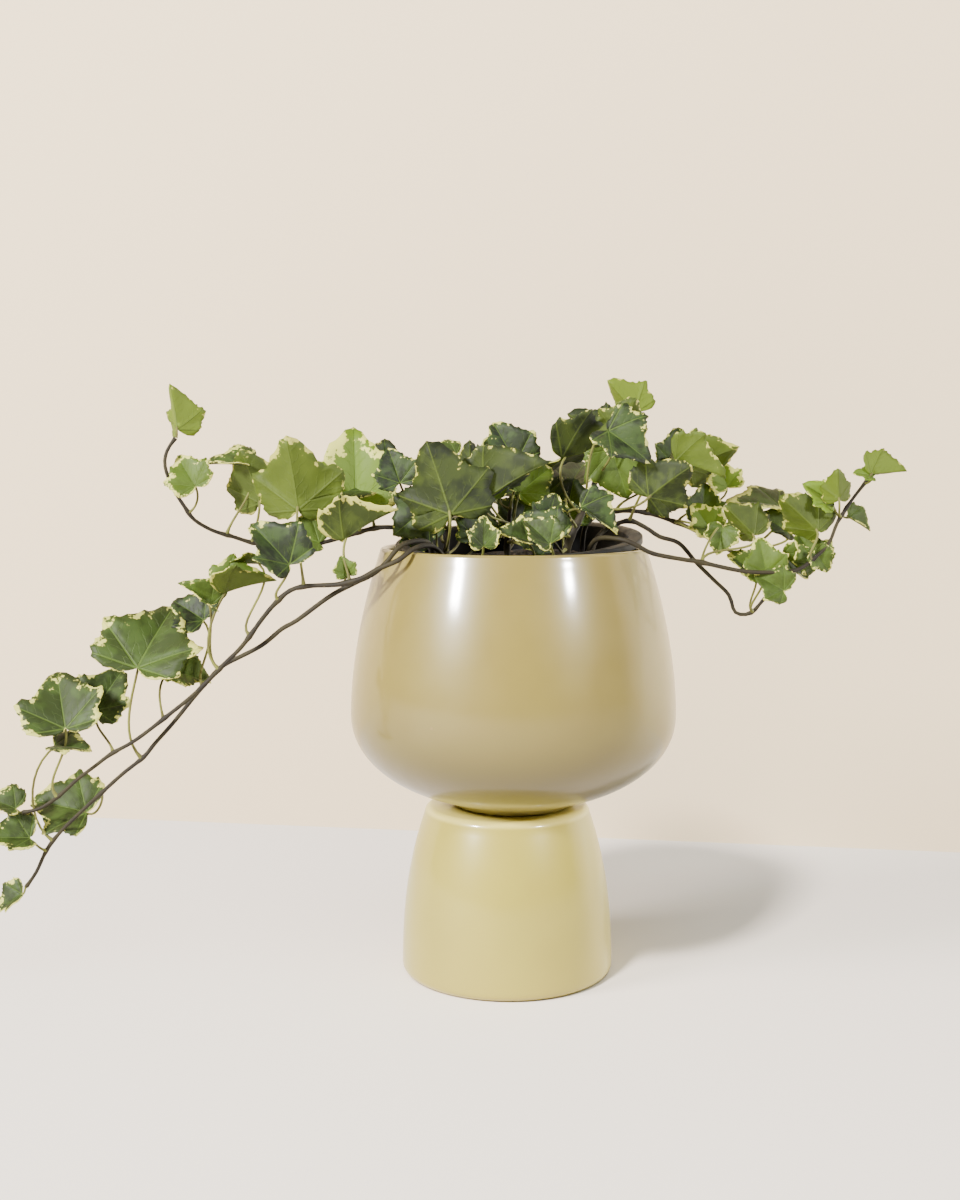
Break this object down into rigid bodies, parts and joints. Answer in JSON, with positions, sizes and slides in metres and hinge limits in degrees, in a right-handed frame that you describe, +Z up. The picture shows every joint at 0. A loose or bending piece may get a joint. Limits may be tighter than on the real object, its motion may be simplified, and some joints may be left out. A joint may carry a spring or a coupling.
{
  "type": "potted ivy",
  "caption": "Trailing variegated ivy in a black nursery pot, set in a glazed stoneware bowl that stands on a round glazed pedestal.",
  "frame": {"origin": "centre of the pedestal's flat base, where the planter stands", "axes": "+Z up, -Y is the front of the planter, long runners trail to -X"},
  "size_m": [0.4209, 0.1514, 0.2772],
  "materials": {
    "pedestal_glaze": "gloss glaze",
    "bowl_glaze": "gloss glaze",
    "nursery_plastic": "matte moulded plastic",
    "potting_soil": "moist crumbly potting mix",
    "ivy_stem": "young green-brown bark",
    "ivy_leaf": "waxy leaf, variegated cream margin",
    "ivy_leaf_young": "waxy young leaf"
  },
  "bodies": {
    "root": {"back_right": "ivy_stem", "back_right_leaf_1": "ivy_leaf", "back_right_leaf_2": "ivy_leaf", "back_right_leaf_3": "ivy_leaf", "back_right_leaf_4": "ivy_leaf", "bowl": "bowl_glaze", "crown_leaf_1": "ivy_leaf", "crown_leaf_10": "ivy_leaf", "crown_leaf_11": "ivy_leaf", "crown_leaf_12": "ivy_leaf_young", "crown_leaf_13": "ivy_leaf", "crown_leaf_14": "ivy_leaf", "crown_leaf_15": "ivy_leaf", "crown_leaf_16": "ivy_leaf", "crown_leaf_17": "ivy_leaf", "crown_leaf_2": "ivy_leaf", "crown_leaf_3": "ivy_leaf", "crown_leaf_4": "ivy_leaf", "crown_leaf_5": "ivy_leaf", "crown_leaf_6": "ivy_leaf", "crown_leaf_7": "ivy_leaf", "crown_leaf_8": "ivy_leaf", "crown_leaf_9": "ivy_leaf", "crown_left": "ivy_stem", "crown_middle": "ivy_stem", "crown_right": "ivy_stem", "drooping_right": "ivy_stem", "drooping_right_leaf_1": "ivy_leaf", "drooping_right_leaf_2": "ivy_leaf", "drooping_right_leaf_3": "ivy_leaf", "lower_left": "ivy_stem", "lower_left_leaf_1": "ivy_leaf", "lower_left_leaf_10": "ivy_leaf", "lower_left_leaf_2": "ivy_leaf", "lower_left_leaf_3": "ivy_leaf", "lower_left_leaf_4": "ivy_leaf", "lower_left_leaf_5": "ivy_leaf", "lower_left_leaf_6": "ivy_leaf", "lower_left_leaf_7": "ivy_leaf", "lower_left_leaf_8": "ivy_leaf", "lower_left_leaf_9": "ivy_leaf", "nursery_pot": "nursery_plastic", "pedestal": "pedestal_glaze", "right": "ivy_stem", "right_leaf_1": "ivy_leaf", "right_leaf_2": "ivy_leaf", "right_leaf_3": "ivy_leaf_young", "right_leaf_4": "ivy_leaf", "right_leaf_5": "ivy_leaf_young", "soil": "potting_soil", "trailing_left": "ivy_stem", "trailing_left_leaf_1": "ivy_leaf", "trailing_left_leaf_2": "ivy_leaf", "trailing_left_leaf_3": "ivy_leaf", "trailing_left_leaf_4": "ivy_leaf", "upper_left": "ivy_stem", "upper_left_leaf_1": "ivy_leaf_young", "upper_left_leaf_2": "ivy_leaf", "upper_left_leaf_3": "ivy_leaf", "upper_left_leaf_4": "ivy_leaf"}
  },
  "joints": []
}
